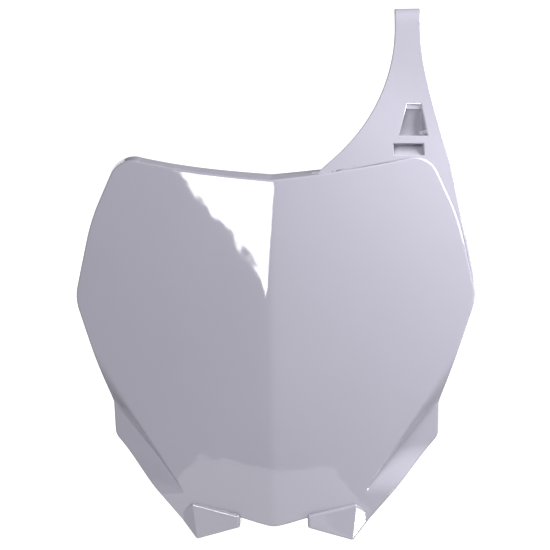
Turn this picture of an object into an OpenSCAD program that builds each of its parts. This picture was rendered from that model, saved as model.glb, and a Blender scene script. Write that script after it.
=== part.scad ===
// Front number board of an off-road motorcycle, moulded in one piece.
// X points to the right as the board is read, Y points to the rear and Z points up.
// The origin is the middle of the bolt hole in the rear tab. Sizes are in millimetres.

/* [Board] */
// Width between the two widest points
board_w = 258; // [240:1:275]
// Height of the widest points over the foot tips
widest_h = 154; // [148:1:160]
// Height of the top edge at the keel
crown_h = 229; // [222:1:236]
// Rise of the top edge near the keel, as a slope
top_rise = 0.085; // [0.05:0.005:0.12]
// Radius that lifts the top edge towards its corners
top_r = 650; // [500:10:900]
// Half width at the top corners, before they are rounded
top_corner_x = 99.4; // [92:0.2:104]
// Radius of the top corners
top_corner_r = 16; // [10:1:20]
// Radius at the widest points
widest_r = 28; // [20:1:34]
// Height of the V at the bottom, under the keel
chin_h = 9.6; // [8.6:0.2:14]

/* [Curvature] */
// Slope of each half of the face beside the keel, in degrees
keel_angle = 6.5; // [4:0.5:9]
// How far the keel line is rounded
keel_soft = 3; // [1:0.5:6]
// Radius of the face from side to side
sweep_r = 600; // [450:10:900]
// Radius of the face from top to bottom
crown_r = 700; // [550:10:1000]
// Height at which the face is furthest forward
crown_z = 130; // [110:1:150]

/* [Wall and edges] */
// Thickness of the moulding
wall = 2.6; // [2.2:0.1:3.2]
// Radius of the outer edges
edge_r = 1.4; // [0.8:0.1:1.8]
// Depth of the turned-back edge at the sides
side_rim = 6.8; // [5:0.2:9]
// Depth of the turned-back lip at the top corners
lip_depth = 11; // [9:0.5:13]
// How far the lip leans outwards at the top corners
lip_flare = 2.8; // [0:0.2:3.6]
// Growth of the lip from the corners to the keel, as a share
lip_growth = 0.4; // [0:0.05:0.5]

/* [Lower sides] */
// Height at which the side wall leaves the outline
wall_top_h = 124; // [118:1:130]
// Step from the face down to the wings
wall_drop = 10; // [6:0.5:12]
// Half width at the waist, where the wings begin
waist_x = 105.2; // [100:0.5:108]
// Height of the waist
waist_h = 86; // [80:1:92]
// Height of the outer corner of the wings
wing_h = 64; // [58:1:68]
// Slope of the wings behind the face
wing_sweep = 0.15; // [0:0.01:0.3]

/* [Feet] */
// Half width at the foot tips
foot_x = 49.2; // [46:0.1:51]
// Half width at the inner ends of the feet
foot_inner_x = 21.5; // [20:0.5:24]
// Height of the upper outer corner of a foot
foot_h = 23.5; // [21:0.5:26]
// How far a foot stands proud of the face
foot_proud = 3.2; // [1.5:0.1:4]
// Depth of a foot from its front to its open rear
foot_depth = 13; // [11:0.5:16]
// Radius of the edges of a foot
foot_r = 1.8; // [0.8:0.1:2]

/* [Arm and strap] */
// Step from the face back to the arm
arm_drop = 3; // [2:0.1:4]
// Thickness of the arm and of its strap
arm_t = 3; // [2.4:0.1:3.6]
// Extra depth of the arm's edges
arm_rim = 2; // [1:0.1:3]
// Width of the strap
strap_w = 16.8; // [14:0.2:19]
// Place of the strap's middle, to the right of the keel
strap_x = 86.6; // [84:0.2:89]
// Height at which the strap starts to bend back
strap_h = 329.5; // [324:0.5:334]
// Diameter of the handlebar that the strap goes over
bar_d = 22; // [20:1:24]
// Width of the strap's end
tail_w = 11; // [9:0.5:13]
// Length of the strap's straight end, behind the arm
tail_l = 44; // [38:1:52]

/* [Belt keeper] */
// Height of the keeper's middle above the board's shoulder corner
keeper_rise = 49.8; // [48.3:0.5:52.3]
// Place of the keeper's middle, to the right of the keel
keeper_x = 88; // [87:0.5:90]
// Width at the wide end of the tapered window and of the lower window
keeper_w = 19.7; // [17.2:0.5:20.7]
// Width at the narrow end of the tapered window
keeper_narrow_w = 9; // [7:0.2:10]
// Height of the bar between the two windows
keeper_bar_h = 5.2; // [4.4:0.2:7]
// Depth of the pocket behind the windows
keeper_depth = 8; // [7:0.5:9]

/* [Rear tab] */
// Diameter of the bolt hole
bolt_d = 6.5; // [5.5:0.5:8.5]
// Distance of the bolt hole behind the face
bolt_back = 34; // [28:1:40]
// Height of the tab over the foot tips
tab_h = 100; // [80:1:120]
// Thickness of the tab
tab_t = 4; // [3:0.5:5]
// Radius of the tab's rounded end
tab_end_r = 10; // [9:0.5:13]
// Width of the tab at the board
tab_w = 44; // [34:1:56]

/* [Hidden] */

half_w = board_w / 2;
// Height of the top edge at a distance x from the keel.
function top_z(x) = crown_h + top_rise * x + x * x / (2 * top_r);

// Depth of the face without its side walls.
function bow_y(x, z) =
    tan(keel_angle) * (sqrt(x * x + keel_soft * keel_soft) - keel_soft)
    + x * x / (2 * sweep_r)
    + (z - crown_z) * (z - crown_z) / (2 * crown_r);

function clamp01(t) = min(1, max(0, t));
function ease(t) = let (c = clamp01(t)) c * c * (3 - 2 * c);
function mix(a, b, t) = a * (1 - t) + b * t;

// The crease is the front edge of a lower side wall and the valley is its foot. Each is straight,
// and both run down to the upper corner of the foot.
wall_run_z = 31;
wall_run_x = 57.5;
crease_top_x = mix(waist_x, half_w, (wall_top_h - waist_h) / (widest_h - waist_h)) - 1;
function crease_x(z) = mix(wall_run_x, crease_top_x, (z - wall_run_z) / (wall_top_h - wall_run_z));
function valley_x(z) = mix(wall_run_x, waist_x, (z - wall_run_z) / (waist_h - wall_run_z)) + 0.5;

// Depth of the front surface, with the side walls and wings.
wall_fade_h = 30;
function face_y(x, z) =
    let (
        u = abs(x),
        c = crease_x(z),
        v = max(valley_x(z), c + 2),
        depth = wall_drop * ease((z - wall_run_z + 2) / wall_fade_h),
        share = depth / wall_drop
    )
    bow_y(u, z) + depth * ease((u - c) / (v - c)) + share * wing_sweep * max(0, u - v);

// Points along a row of corners [x, z, radius, arc steps]. The first and last are plain points.
function unit(v) = v / norm(v);
function corner_arc(a, b, c) =
    let (
        p = [b[0], b[1]],
        da = unit([a[0], a[1]] - p),
        dc = unit([c[0], c[1]] - p),
        half = acos(da * dc) / 2,
        centre = p + unit(da + dc) * b[2] / sin(half),
        from = p + da * b[2] / tan(half) - centre,
        sweep = 180 - 2 * half,
        side = cross([da[0], da[1]], [dc[0], dc[1]]) > 0 ? -1 : 1
    )
    [for (k = [0:b[3]])
        let (t = side * sweep * k / b[3])
        centre + [from[0] * cos(t) - from[1] * sin(t), from[0] * sin(t) + from[1] * cos(t)]];
function corner_path(c) = [
    [c[0][0], c[0][1]],
    for (i = [1:len(c) - 2]) each corner_arc(c[i - 1], c[i], c[i + 1]),
    [c[len(c) - 1][0], c[len(c) - 1][1]]
];

// Straight stretches longer than the step are divided.
function divided(path, step) = [
    for (i = [0:len(path) - 2])
        let (n = max(1, round(norm(path[i + 1] - path[i]) / step)))
        for (k = [0:n - 1]) mix(path[i], path[i + 1], k / n),
    path[len(path) - 1]
];

// Outline of the right half of the board.
wing_x = waist_x - 0.1;
shoulder_x = half_w - 11;
shoulder_h = widest_h + 50;
keeper_h = shoulder_h + keeper_rise;
shoulder_r = 120;
foot_cover_h = 7;
foot_cover_x = mix(foot_x, wing_x, foot_cover_h / wing_h);
notch_x = foot_inner_x - 0.7;
chin_slope = 0.3;
chin_soft = 4;
function chin_z(x) = chin_h + chin_slope * (sqrt(x * x + chin_soft * chin_soft) - chin_soft);
corner_steps = 3;

// The side runs from the middle of the rounding at the foot to the middle of the top corner.
right_corners = corner_path([
    [notch_x, chin_z(notch_x)],
    [foot_cover_x, foot_cover_h, 4, 2 * corner_steps],
    [wing_x, wing_h, 9, 3],
    [waist_x, waist_h, 6, 3],
    [half_w, widest_h, widest_r, 5],
    [shoulder_x, shoulder_h, shoulder_r, 4],
    [top_corner_x, top_z(top_corner_x), top_corner_r, 2 * corner_steps],
    [top_corner_x - 2 * top_corner_r, top_z(top_corner_x - 2 * top_corner_r)]
]);
last_corner = len(right_corners) - 1;
side_step = 10.5;
side = divided([for (k = [1 + corner_steps:last_corner - 1 - corner_steps]) right_corners[k]], side_step);
rows = len(side) - 1;
bottom_edge = [
    for (x = [0:notch_x / 8:notch_x]) [x, chin_z(x)],
    for (k = [1:1 + corner_steps]) right_corners[k]
];
top_from = right_corners[last_corner - 1][0];
top_edge = [
    for (x = [0:top_from / 12:top_from - 1]) [x, top_z(x)],
    for (k = [last_corner - 1:-1:last_corner - 1 - corner_steps]) right_corners[k]
];

// Each half has columns from the keel to the crease, down the side wall, and on to the outline.
face_columns = [0, 0.02, 0.06, 0.15, 0.27, 0.39, 0.5, 0.62, 0.74, 0.86, 0.95, 1];
wall_columns = 4;
edge_columns = [0, 0.35, 0.68, 1];
face_n = len(face_columns) - 1;
half_n = face_n + wall_columns + len(edge_columns) - 1;
crease_limit = 0.89;
valley_limit = 0.95;

function patch_z(u, v) =
    mix(lookup(u * side[0][0], bottom_edge), lookup(u * side[rows][0], top_edge), v);
function patch_row(j) =
    let (
        x = side[j][0],
        v = (side[j][1] - side[0][1]) / (side[rows][1] - side[0][1]),
        guess = min(crease_limit, crease_x(side[j][1]) / x),
        c = min(crease_limit, crease_x(patch_z(guess, v)) / x),
        w = min(valley_limit, max(c + 0.03, valley_x(patch_z(c, v)) / x)),
        us = [
            for (f = face_columns) f * c,
            for (k = [1:wall_columns]) mix(c, w, k / wall_columns),
            for (k = [1:len(edge_columns) - 1]) mix(w, 1, edge_columns[k])
        ]
    )
    [for (u = us) [u * x, patch_z(u, v)]];
half_patch = [for (j = [0:rows]) patch_row(j)];
function on_face(p) = [p[0], face_y(p[0], p[2]), p[2]];
board_grid = [
    for (j = [0:rows]) [
        for (i = [-half_n:half_n])
            let (p = half_patch[j][abs(i)])
            on_face([sign(i) * p[0], 0, p[1]])
    ]
];

// A moulded sheet is a grid of points on its front, with a direction to the rear at each. Its edge
// is a set of rings, each given by its distance inwards and to the rear.
function edge_loop(g) =
    let (n = len(g) - 1, m = len(g[0]) - 1)
    [
        for (i = [0:m]) g[0][i],
        for (j = [1:n]) g[j][m],
        for (i = [m - 1:-1:0]) g[n][i],
        for (j = [n - 1:-1:1]) g[j][0]
    ];
function outward(loop, rear) =
    let (n = len(loop))
    [for (k = [0:n - 1]) unit(cross(rear[k], loop[(k + 1) % n] - loop[(k + n - 1) % n]))];
function nearest_edge(j, i, n, m) =
    let (a = min(i, m - i), b = min(j, n - j), count = 2 * (n + m))
    a <= b
        ? (i < m / 2 ? (2 * m + 2 * n - j) % count : m + j)
        : (j < n / 2 ? i : 2 * m + n - i);
inset_reach = 4;
function inset(g, out, d) =
    let (n = len(g) - 1, m = len(g[0]) - 1)
    [
        for (j = [0:n]) [
            for (i = [0:m])
                let (near = min(i, m - i, j, n - j), share = max(0, 1 - near / inset_reach))
                g[j][i] - d * share * out[nearest_edge(j, i, n, m)]
        ]
    ];

function flat(list) = [for (row = list) each row];
function grid_faces(n, m, start, front) = [
    for (j = [0:n - 1]) for (i = [0:m - 1])
        let (
            a = start + j * (m + 1) + i,
            b = a + 1,
            d = a + m + 1,
            e = d + 1,
            halves = i < m / 2 ? [[a, d, b], [b, d, e]] : [[a, d, e], [a, e, b]]
        )
        each front ? halves : [for (t = halves) [t[2], t[1], t[0]]]
];
function band_faces(a, b) =
    let (n = len(a))
    [
        for (k = [0:n - 1])
            let (l = (k + 1) % n)
            each [[a[k], a[l], b[l]], [a[k], b[l], b[k]]]
    ];

module sheet(front, rings, back) {
    n = len(front) - 1;
    m = len(front[0]) - 1;
    size = (n + 1) * (m + 1);
    around = 2 * (n + m);
    numbers = [for (j = [0:n]) [for (i = [0:m]) j * (m + 1) + i]];
    front_loop = edge_loop(numbers);
    back_start = size + len(rings) * around;
    loops = [
        front_loop,
        for (r = [0:len(rings) - 1]) [for (k = [0:around - 1]) size + r * around + k],
        [for (k = front_loop) back_start + k]
    ];
    polyhedron(
        points = concat(flat(front), flat(rings), flat(back)),
        faces = concat(
            grid_faces(n, m, 0, true),
            [for (r = [0:len(loops) - 2]) each band_faces(loops[r], loops[r + 1])],
            grid_faces(n, m, back_start, false)
        )
    );
}

// The board, with its turned-back edge. The edge is deepest along the top, where it leans outwards.
board_loop = edge_loop(board_grid);
to_rear = [for (p = board_loop) [0, 1, 0]];
board_out = outward(board_loop, to_rear);
// The lip ends where the arm begins.
lip_end_x = 70;
function lip_share(k) =
    ease((board_out[k][2] + 0.05) / 0.7) * ease((lip_end_x - board_loop[k][0]) / (lip_end_x - root_from));
function lip_size(k) = 1 + lip_growth * (1 - ease(abs(board_loop[k][0]) / lip_end_x));
function board_ring(d, depth, leans) = [
    for (k = [0:len(board_loop) - 1])
        let (
            s = leans * lip_share(k),
            p = board_loop[k] - (d - s * lip_size(k) * lip_flare) * board_out[k],
            base = on_face(d > 0 ? p : board_loop[k])
        )
        [p[0], base[1] + mix(depth, lip_size(k) * lip_depth, s), p[2]]
];
function shifted(g, d) = [for (row = g) [for (p = row) on_face(p) + [0, d, 0]]];
rim_end = 0.8 * wall;

module board() {
    sheet(
        shifted(inset(board_grid, board_out, edge_r), 0),
        [
            board_ring(0.3 * edge_r, 0.3 * edge_r, 0),
            board_ring(0, edge_r, 0),
            board_ring(0, side_rim, 1),
            board_ring(rim_end, side_rim, 1)
        ],
        shifted(inset(board_grid, board_out, wall), wall)
    );
}

// The arm grows out of the right side and the top of the edge. Its root lies inside the edge, and
// from there it narrows to the strap.
root_in = 0.33 * wall;
root_from = 26;
root_corners = corner_path([
    [root_from, top_z(root_from)],
    [top_corner_x, top_z(top_corner_x), top_corner_r, 2 * corner_steps],
    [shoulder_x, shoulder_h, shoulder_r, 4],
    [half_w - 1.1, widest_h - 1]
]);
function path_normal(p, k) =
    let (d = unit(p[min(k + 1, len(p) - 1)] - p[max(k - 1, 0)]))
    [d[1], -d[0]];
function offset_path(p, d) = [for (k = [0:len(p) - 1]) p[k] + d * path_normal(p, k)];
root = offset_path(root_corners, root_in);
inner_curve_h = 52.5;
inner_r = 112;
hip_h = 12;
hip_r = 27;
bend_out_h = 18;
bend_out_r = 150;
neck_h = 28;
neck_r = 60;
arm_inner = corner_path([
    root[0],
    [strap_x - strap_w / 2, strap_h - inner_curve_h, inner_r, 9],
    [strap_x - strap_w / 2, strap_h]
]);
arm_outer = corner_path([
    root[len(root) - 1],
    [half_w - 1.1, widest_h + hip_h, hip_r, 3],
    [shoulder_x, shoulder_h + bend_out_h, bend_out_r, 3],
    [strap_x + strap_w / 2, strap_h - neck_h, neck_r, 4],
    [strap_x + strap_w / 2, strap_h]
]);

// The point at a share s of a path's length.
function reach(p, k) = k == 0 ? 0 : reach(p, k - 1) + norm(p[k] - p[k - 1]);
function along(p, s) =
    let (
        lengths = [for (k = [0:len(p) - 1]) reach(p, k)],
        total = lengths[len(p) - 1]
    )
    [for (a = [0, 1]) lookup(s * total, [for (k = [0:len(p) - 1]) [lengths[k], p[k][a]]])];
arm_columns = 8;
arm_rows = 14;
function strap_edge(s) = [strap_x + (s - 0.5) * strap_w, strap_h];
function arm_point(s, t) =
    mix(along(root, s), strap_edge(s), t)
    + mix(along(arm_inner, t), along(arm_outer, t), s)
    - mix(mix(root[0], root[len(root) - 1], s), strap_edge(s), t);

// The arm lies behind the face, and turns to face straight forward where it becomes the strap.
flat_from = 250;
flat_over = strap_h - 6 - flat_from;
function arm_y(x, z) = bow_y(mix(x, strap_x, ease((z - flat_from) / flat_over)), z) + arm_drop;
function on_arm(p) = [p[0], arm_y(p[0], p[1]), p[1]];
function arm_rear(p) =
    let (d = 0.5)
    unit([
        arm_y(p[0] - d, p[1]) - arm_y(p[0] + d, p[1]),
        2 * d,
        arm_y(p[0], p[1] - d) - arm_y(p[0], p[1] + d)
    ]);

// The strap bends back over the handlebar and ends behind the arm.
bar_clearance = 0.5;
bend_r = bar_d / 2 + bar_clearance + arm_t;
bend_from = atan((strap_h - crown_z) / crown_r);
bend_turn = 180;
bend_rows = 12;
tail_rows = 3;
bend_start = on_arm([strap_x, strap_h]);
function bend_rear(turn) = [0, cos(bend_from + turn), -sin(bend_from + turn)];
bend_centre = bend_start + bend_r * bend_rear(0);
function bend_width(turn) = mix(strap_w, tail_w, ease((turn - 60) / 100));
function bend_row(turn, run) = [
    for (s = [0:arm_columns])
        bend_centre - bend_r * bend_rear(turn)
        + run * [0, sin(bend_from + turn), cos(bend_from + turn)]
        + [(s / arm_columns - 0.5) * bend_width(turn), 0, 0]
];
bend_turns = [for (k = [1:bend_rows]) bend_turn * k / bend_rows];
arm_flat = [for (j = [0:arm_rows]) [for (i = [0:arm_columns]) arm_point(i / arm_columns, j / arm_rows)]];
arm_grid = concat(
    [for (row = arm_flat) [for (p = row) on_arm(p)]],
    [for (t = bend_turns) bend_row(t, 0)],
    [for (k = [1:tail_rows]) bend_row(bend_turn, tail_l * k / tail_rows)]
);
arm_dirs = concat(
    [for (row = arm_flat) [for (p = row) arm_rear(p)]],
    [for (t = bend_turns) [for (i = [0:arm_columns]) bend_rear(t)]],
    [for (k = [1:tail_rows]) [for (i = [0:arm_columns]) bend_rear(bend_turn)]]
);
arm_loop = edge_loop(arm_grid);
arm_loop_dirs = edge_loop(arm_dirs);
arm_out = outward(arm_loop, arm_loop_dirs);
rim_fade = 60;
arm_last = len(arm_grid) - 1;
function edge_row(k, n, m) = k <= m ? 0 : k <= m + n ? k - m : k <= 2 * m + n ? n : 2 * (m + n) - k;
function rim_share(k) =
    let (j = edge_row(k, arm_last, arm_columns))
    j > arm_rows ? 0 : ease(j / 4) * ease((strap_h - 20 - arm_loop[k][2]) / rim_fade);
function arm_ring(d, depth, extra) = [
    for (k = [0:len(arm_loop) - 1])
        arm_loop[k] - d * arm_out[k] + (depth + extra * rim_share(k)) * arm_loop_dirs[k]
];

module arm() {
    back = inset(arm_grid, arm_out, arm_t);
    sheet(
        inset(arm_grid, arm_out, edge_r),
        [
            arm_ring(0.3 * edge_r, 0.3 * edge_r, 0),
            arm_ring(0, edge_r, 0),
            arm_ring(0, arm_t - 0.5, arm_rim),
            arm_ring(0.5, arm_t, arm_rim),
            arm_ring(0.8 * arm_t, arm_t, arm_rim)
        ],
        [for (j = [0:len(back) - 1]) [
            for (i = [0:arm_columns]) back[j][i] + arm_t * arm_dirs[j][i]
        ]]
    );
}

// A foot is a hollow box on the front of each lower corner, open at the rear for a bracket's peg.
foot_apex_x = foot_x + 4;
foot_top_h = foot_h - 6;
foot_low_h = 8.6;
foot_edge_x = foot_x + 13;
foot_edge_h = 15.5;
foot_facets = 16;
foot_corners = [
    [foot_apex_x - foot_r, foot_h - foot_r, 0.6 * foot_proud],
    [foot_inner_x + foot_r, foot_top_h - foot_r, foot_proud],
    [foot_inner_x + foot_r, foot_low_h + foot_r, foot_proud],
    [foot_x, foot_r, foot_proud],
    [foot_edge_x - foot_r, foot_edge_h, -wall / 2]
];
foot_hollow = [
    [foot_apex_x - 1.5 * wall, foot_h - 2 * wall, 0.6 * foot_proud],
    [foot_inner_x + 2 * wall, foot_top_h - 1.2 * wall, foot_proud],
    [foot_inner_x + 2 * wall, foot_low_h + wall, foot_proud],
    [foot_x - 0.4 * wall, 1.6 * wall, foot_proud]
];
// A rod that runs to the rear from a front at a given distance before the face.
module foot_rod(p, r, back) {
    front = bow_y(p[0], p[1]) - p[2] + foot_r;
    translate([p[0], front, p[1]]) {
        sphere(r, $fn = foot_facets);
        rotate([-90, 0, 0]) cylinder(foot_depth + back, r, r, $fn = foot_facets);
    }
}
module foot_block() {
    hull() for (p = foot_corners) foot_rod(p, foot_r, 0);
}
module foot_socket() {
    translate([0, wall, 0]) hull() for (p = foot_hollow) foot_rod(p, foot_r / 2, wall);
}
module both_sides() {
    children();
    mirror([1, 0, 0]) children();
}

// The belt keeper: a tapered window and a lower one, joined by a curved pocket behind the bar
// between them. Its own axes lie along the arm's front.
keeper_gap = keeper_bar_h / 2;
window_h = 20.5;
window_x = 1.6;
window_lean = 1.7;
window_top = keeper_gap + window_h;
low_window_h = 7.4;
low_window_x = -1.8;
keeper_bottom = -keeper_gap - low_window_h;
keeper_skin = 2.2;
ledge_h = 2.8;
ledge_depth = 1.4;
floor_steps = 10;
module on_keeper() {
    d = 1;
    y = arm_y(keeper_x, keeper_h);
    lean = atan(arm_y(keeper_x, keeper_h + d) - y);
    turn = atan(arm_y(keeper_x + d, keeper_h) - y);
    translate([keeper_x, y, keeper_h]) rotate([-lean, 0, turn]) children();
}
module through(front, rear) {
    translate([0, rear, 0]) rotate([90, 0, 0]) linear_extrude(rear - front) children();
}
module keeper_outline() {
    wide = keeper_w / 2;
    narrow = keeper_narrow_w / 2;
    step_z = keeper_gap / 2;
    polygon([
        [window_x + window_lean - narrow, window_top],
        [window_x + window_lean + narrow, window_top],
        [window_x + wide, step_z],
        [low_window_x + wide, -step_z],
        [low_window_x + wide, keeper_bottom],
        [low_window_x - wide, keeper_bottom],
        [low_window_x - wide, -step_z],
        [window_x - wide, step_z]
    ]);
}
// The pocket's floor runs from the ledge down behind the bar and out again at the lower window.
floor_top = window_top - ledge_h;
floor_span = floor_top - keeper_bottom;
function floor_depth(z) =
    let (t = clamp01((floor_top - z) / floor_span))
    ledge_depth + (keeper_depth - ledge_depth) * pow(sin(180 * pow(t, 0.9)), 0.75);
module keeper_profile(front, grow) {
    rotate([90, 0, 90]) linear_extrude(60, center = true)
        polygon([
            [front, keeper_bottom - grow],
            [front, window_top + grow],
            [ledge_depth + grow, window_top + grow],
            for (k = [0:floor_steps])
                let (z = mix(floor_top, keeper_bottom, k / floor_steps))
                [floor_depth(z) + grow, k == floor_steps ? z - grow : z]
        ]);
}
far = 30;
keeper_wall = 1.8;
module keeper_body() {
    intersection() {
        through(-far, far) offset(delta = keeper_wall) keeper_outline();
        keeper_profile(keeper_skin / 2, keeper_wall);
    }
}
module keeper_pocket() {
    difference() {
        intersection() {
            through(-far, far) keeper_outline();
            keeper_profile(-far / 2, 0);
        }
        through(-far, keeper_skin) translate([-far, -keeper_gap]) square([2 * far, keeper_bar_h]);
    }
}

// The tab behind the keel that the bolt goes through, with a rib under each side.
tab_root = wall / 2;
rib_t = 2.4;
rib_h = 32;
rib_x = tab_w / 2 - 8;
module tab() {
    side_y = bow_y(tab_w / 2, tab_h) + tab_root;
    translate([0, 0, tab_h - tab_t / 2]) linear_extrude(tab_t) {
        polygon([
            [0, bow_y(0, tab_h) + tab_root],
            [tab_w / 2, side_y],
            [tab_end_r, bolt_back],
            [-tab_end_r, bolt_back],
            [-tab_w / 2, side_y]
        ]);
        translate([0, bolt_back]) circle(tab_end_r, $fn = 48);
    }
}
module rib() {
    low = tab_h - rib_h;
    translate([rib_x - rib_t / 2, 0, 0]) rotate([90, 0, 90]) linear_extrude(rib_t)
        polygon([
            [bow_y(rib_x, low) + tab_root, low],
            [bow_y(rib_x, low) + wall + 2, low],
            [bolt_back - tab_end_r, tab_h],
            [bow_y(rib_x, tab_h) + tab_root, tab_h]
        ]);
}
module bolt_hole() {
    translate([0, bolt_back, tab_h - 2 * tab_t]) cylinder(d = bolt_d, h = 4 * tab_t, $fn = 48);
}

// The skin is the board, the arm and the hollow feet as one closed surface.
module skin() {
    resize([0, 0, 0]) difference() {
        union() {
            board();
            arm();
            both_sides() foot_block();
            on_keeper() keeper_body();
        }
        both_sides() foot_socket();
        on_keeper() keeper_pocket();
    }
}

module number_board() {
    color([0.86, 0.85, 0.89])
    translate([0, -bolt_back, -tab_h])
    difference() {
        union() {
            skin();
            tab();
            both_sides() rib();
        }
        bolt_hole();
    }
}

number_board();
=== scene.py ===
# %% [markdown]
# # A racing number board
# The front number board of an off-road motorcycle is one moulding in glossy plastic. A thin face,
# bent along a keel, carries the numerals. Its edge is turned back, a flexible arm runs up to a
# strap that goes over the handlebar, and two hollow feet sit on the fork guards. This lesson
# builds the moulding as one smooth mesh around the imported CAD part, which gives the scale.

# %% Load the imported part
import math

import bmesh
import bpy
import numpy as np
from mathutils import Matrix, Vector


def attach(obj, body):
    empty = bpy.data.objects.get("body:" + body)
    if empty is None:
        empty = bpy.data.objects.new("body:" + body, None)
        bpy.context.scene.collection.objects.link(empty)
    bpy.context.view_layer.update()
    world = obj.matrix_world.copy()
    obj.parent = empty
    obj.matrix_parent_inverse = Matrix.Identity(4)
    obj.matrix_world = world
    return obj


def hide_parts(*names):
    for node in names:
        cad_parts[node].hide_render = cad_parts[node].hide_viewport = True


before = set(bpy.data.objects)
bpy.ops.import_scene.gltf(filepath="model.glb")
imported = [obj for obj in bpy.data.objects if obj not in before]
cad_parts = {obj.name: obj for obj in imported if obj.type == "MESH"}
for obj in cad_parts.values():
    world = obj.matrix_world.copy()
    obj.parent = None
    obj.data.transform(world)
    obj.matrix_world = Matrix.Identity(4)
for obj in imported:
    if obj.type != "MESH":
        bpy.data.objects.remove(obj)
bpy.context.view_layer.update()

# %% [markdown]
# ## The sizes
# The numbers are the mould's own, in millimetres: X to the right as the board is read, Y to the
# rear and Z up from the foot tips. The finished mesh is moved to the part's origin, which is the
# middle of the bolt hole, and turned into metres.

# %% Sizes of the moulding
MM = 0.001
bolt_back, tab_h = 34.0, 100.0
board_w, widest_h, crown_h = 258.0, 154.0, 229.0
keel_angle, keel_soft, sweep_r = math.radians(6.5), 3.0, 600.0
crown_r, crown_z = 700.0, 130.0
wall, wall_top_h = 2.6, 124.0
waist_x, waist_h, wing_h = 105.2, 86.0, 64.0
half_w = board_w / 2


def to_part(points):
    """Points of the mould, in the part's frame and in metres."""
    return (np.asarray(points, float) - (0, bolt_back, tab_h)) * MM


print("the board is", board_w, "mm wide, and its keel ends", crown_h, "mm up")

# %% [markdown]
# ## The rule of the face
# The face is one curved sheet: two halves that slope back from a rounded keel, swept from side to
# side and crowned from top to bottom. A lower side wall steps back from it to the wings.

# %% Depth of the face
def ease(t):
    """0 to 1 with a soft start and a soft end."""
    c = np.clip(t, 0, 1)
    return c * c * (3 - 2 * c)


def mix(a, b, t):
    """From a to b by the share t."""
    return a * (1 - t) + b * t


def bow(x, z):
    """How far the face lies behind the front of the keel."""
    keel = math.tan(keel_angle) * (np.hypot(x, keel_soft) - keel_soft)
    return keel + x**2 / (2 * sweep_r) + (z - crown_z) ** 2 / (2 * crown_r)


wall_run_x, wall_run_z, wall_fade_h, wall_fade_low = 57.5, 31.0, 30.0, 2.0
wall_drop, least_wall_w, wing_sweep = 10.0, 2.0, 0.15
crease_in, valley_out = 1.0, 0.5
crease_top_x = mix(waist_x, half_w, (wall_top_h - waist_h) / (widest_h - waist_h)) - crease_in


def crease_x(z):
    """The front edge of the lower side wall."""
    return mix(wall_run_x, crease_top_x, (z - wall_run_z) / (wall_top_h - wall_run_z))


def valley_x(z):
    """The foot of the lower side wall, where the wing begins."""
    return mix(wall_run_x, waist_x, (z - wall_run_z) / (waist_h - wall_run_z)) + valley_out


def side_wall(x, z):
    """How far the side wall and the wing lie behind the face."""
    across = np.abs(x)
    front = crease_x(z)
    back = np.maximum(valley_x(z), front + least_wall_w)
    share = ease((z - wall_run_z + wall_fade_low) / wall_fade_h)
    step = wall_drop * share * ease((across - front) / (back - front))
    return step + share * wing_sweep * np.maximum(0, across - back)


print("face is", round(float(bow(half_w, widest_h)), 1), "mm back at its widest point")

# %% [markdown]
# ## The outline
# The outline is straight stretches joined by arcs, as a mould maker draws it. Each corner is a
# point with a radius. The same helper draws the edges of the arm.

# %% Paths with rounded corners
def unit(v):
    """The direction of a vector, with length 1."""
    return v / np.linalg.norm(v)


def corner_path(corners):
    """Straight stretches joined by arcs. A corner is (x, z, radius, steps), an end (x, z)."""
    path = [np.array(corners[0][:2], float)]
    for a, b, c in zip(corners, corners[1:], corners[2:]):
        here = np.array(b[:2], float)
        to_a, to_c = unit(np.array(a[:2]) - here), unit(np.array(c[:2]) - here)
        half = math.acos(to_a @ to_c) / 2
        centre = here + unit(to_a + to_c) * b[2] / math.sin(half)
        start = here + to_a * b[2] / math.tan(half) - centre
        turn = math.pi - 2 * half
        turn *= -1 if to_a[0] * to_c[1] - to_a[1] * to_c[0] > 0 else 1
        for t in np.linspace(0, turn, b[3] + 1):
            cos, sin = math.cos(t), math.sin(t)
            path.append(centre + (start[0] * cos - start[1] * sin, start[0] * sin + start[1] * cos))
    path.append(np.array(corners[-1][:2], float))
    return np.array(path)


def divided(path, step):
    """The path with every stretch longer than the step cut into equal pieces."""
    out = []
    for a, b in zip(path, path[1:]):
        n = max(1, round(float(np.linalg.norm(b - a)) / step))
        out += [mix(a, b, k / n) for k in range(n)]
    return np.array(out + [path[-1]])


square = corner_path([(0, 10), (0, 0, 3, 4), (10, 0)])
print("a square corner in 4 steps has", len(square), "points")

# %% [markdown]
# The real board is the same on both sides of its keel, so only the right half is drawn, from the
# notch beside the foot up to the top corner. The arcs have many steps here, which a CAD part could
# not afford. The top edge is a hollow curve, and the chin is a shallow V with a rounded tip. Both
# have formulas of their own.

# %% Outline of the right half
top_rise, top_r, top_corner_x, top_corner_r = 0.085, 650.0, 99.4, 16.0
chin_h, chin_slope, chin_soft = 9.6, 0.3, 4.0
foot_x, foot_inner_x, foot_cover_h, foot_cover_r = 49.2, 21.5, 7.0, 4.0
wing_in, wing_r, waist_r, widest_r = 0.1, 9.0, 6.0, 28.0
shoulder_in, shoulder_up, shoulder_r = 11.0, 50.0, 120.0
corner_half, side_step, notch_in = 10, 2.1, 0.7
wing_x, shoulder_x, shoulder_h = waist_x - wing_in, half_w - shoulder_in, widest_h + shoulder_up
foot_cover_x = mix(foot_x, wing_x, foot_cover_h / wing_h)
notch_x = foot_inner_x - notch_in


def top_z(x):
    """Height of the top edge."""
    return crown_h + top_rise * x + x * x / (2 * top_r)


def chin_z(x):
    """Height of the lower edge between the feet."""
    return chin_h + chin_slope * (np.hypot(x, chin_soft) - chin_soft)


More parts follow.
